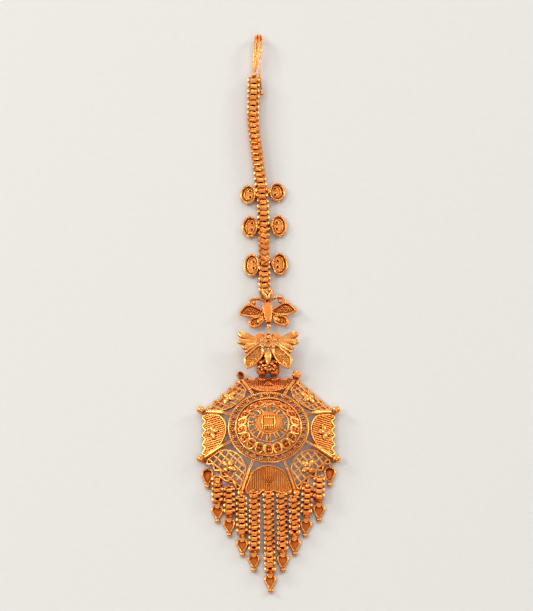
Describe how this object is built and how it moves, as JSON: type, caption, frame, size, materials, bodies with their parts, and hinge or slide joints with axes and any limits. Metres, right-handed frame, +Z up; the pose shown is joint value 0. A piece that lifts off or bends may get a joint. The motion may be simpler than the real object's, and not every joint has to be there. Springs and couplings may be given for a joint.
{
  "type": "maang tikka",
  "caption": "Gilded forehead ornament lying flat: hair hook, box chain with leaf discs and butterflies, domed octagonal filigree pendant with a fringe of chain strands and drops.",
  "frame": {"origin": "middle of the whole footprint, on the surface it lies on", "axes": "+Y along the ornament towards the hair hook, the fringe towards -Y; +Z up out of the surface, out of the dome; +X to the right"},
  "size_m": [0.033, 0.147, 0.008],
  "materials": {
    "gilt_sheet": "pierced sheet, satin with bright wire edges",
    "gilt_chain": "polished links",
    "gilt_stamping": "stamped, polished on the high points",
    "gilt_wire": "polished wire"
  },
  "bodies": {
    "root": {"dome": "gilt_sheet", "dome_ring": "gilt_sheet", "boss": "gilt_sheet", "fan_panel_bottom": "gilt_sheet", "fan_panel_right": "gilt_sheet", "fan_panel_top": "gilt_sheet", "fan_panel_left": "gilt_sheet", "lattice_panel_lower_right": "gilt_sheet", "lattice_panel_upper_right": "gilt_sheet", "lattice_panel_upper_left": "gilt_sheet", "lattice_panel_lower_left": "gilt_sheet", "fringe_chain_1": "gilt_chain", "fringe_chain_2": "gilt_chain", "fringe_chain_3": "gilt_chain", "fringe_chain_4": "gilt_chain", "fringe_chain_5": "gilt_chain", "fringe_chain_6": "gilt_chain", "fringe_chain_7": "gilt_chain", "fringe_chain_8": "gilt_chain", "fringe_chain_9": "gilt_chain", "main_chain": "gilt_chain", "link_chain_left": "gilt_chain", "link_chain_right": "gilt_chain", "fringe_drop_1": "gilt_stamping", "fringe_drop_2": "gilt_stamping", "fringe_drop_3": "gilt_stamping", "fringe_drop_4": "gilt_stamping", "fringe_drop_5": "gilt_stamping", "fringe_drop_6": "gilt_stamping", "fringe_drop_7": "gilt_stamping", "fringe_drop_8": "gilt_stamping", "fringe_drop_9": "gilt_stamping", "side_drop_left": "gilt_stamping", "side_drop_right": "gilt_stamping", "leaf_disc_left_1": "gilt_stamping", "leaf_disc_right_1": "gilt_stamping", "leaf_disc_left_2": "gilt_stamping", "leaf_disc_right_2": "gilt_stamping", "leaf_disc_left_3": "gilt_stamping", "leaf_disc_right_3": "gilt_stamping", "butterfly_upper": "gilt_stamping", "butterfly_lower": "gilt_stamping", "pendant_frame": "gilt_wire", "hair_hook": "gilt_wire", "hook_ring": "gilt_wire", "chain_bail": "gilt_wire", "butterfly_ring": "gilt_wire"}
  },
  "joints": []
}
